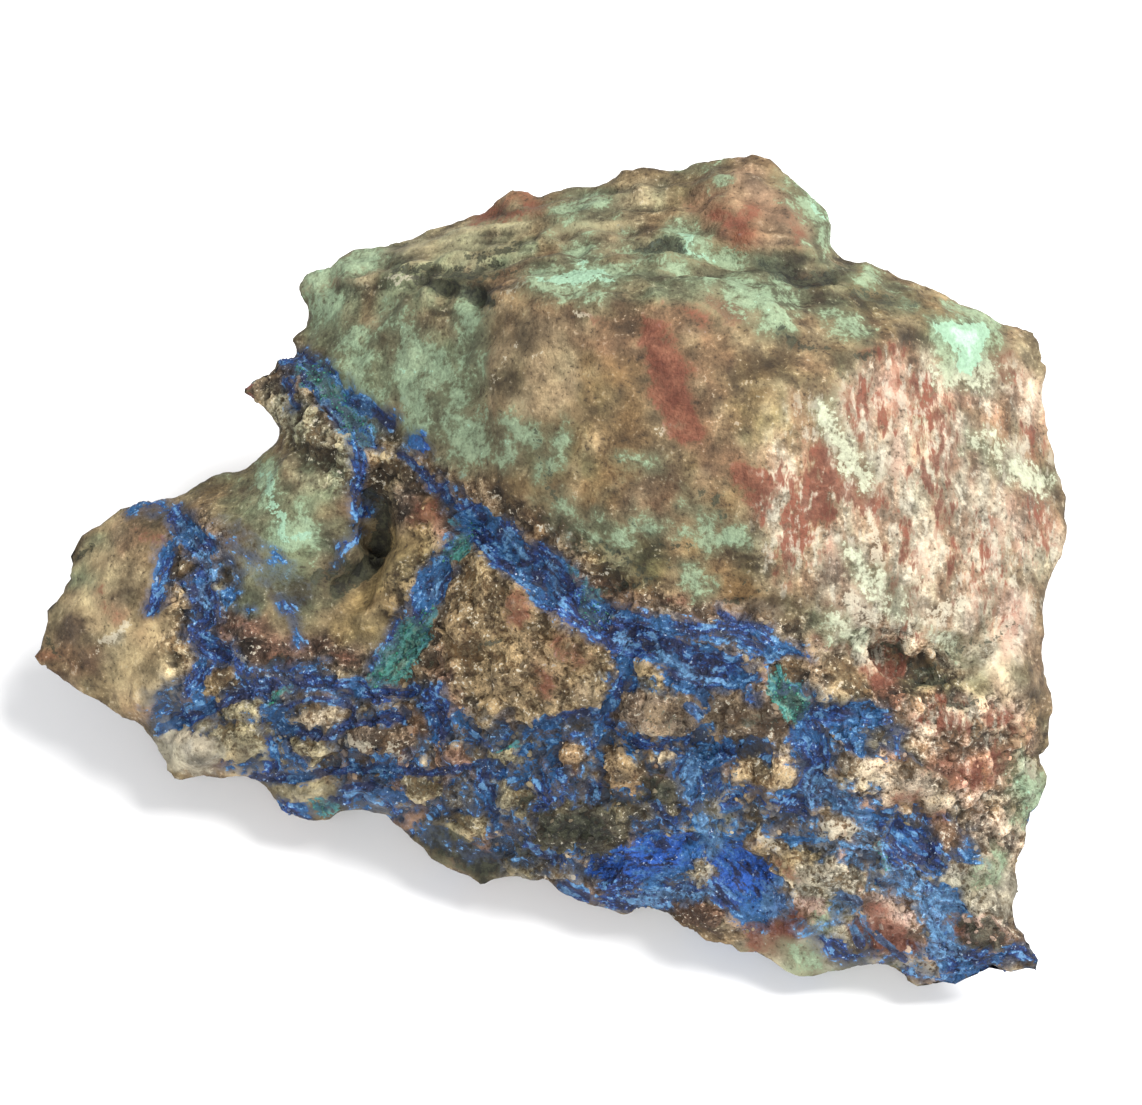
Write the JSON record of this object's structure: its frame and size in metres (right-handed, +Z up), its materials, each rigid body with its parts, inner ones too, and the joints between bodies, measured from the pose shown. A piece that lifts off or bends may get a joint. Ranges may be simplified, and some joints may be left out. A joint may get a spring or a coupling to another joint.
{
  "type": "azurite malachite specimen",
  "caption": "Broken hand specimen of copper ore: pale brown rock crossed by blue azurite veins, with green malachite films and red iron stains, resting on a flat facet.",
  "frame": {"origin": "centre of the bounding box seen from above, on the resting facet", "axes": "+Z up, +X from the pointed left lobe towards the pale right face, -Y out of the low broken side"},
  "size_m": [0.1038, 0.0772, 0.0506],
  "materials": {
    "rock": "rough broken rock, matt, with glinting grains"
  },
  "bodies": {
    "root": {"specimen": "rock"}
  },
  "joints": []
}
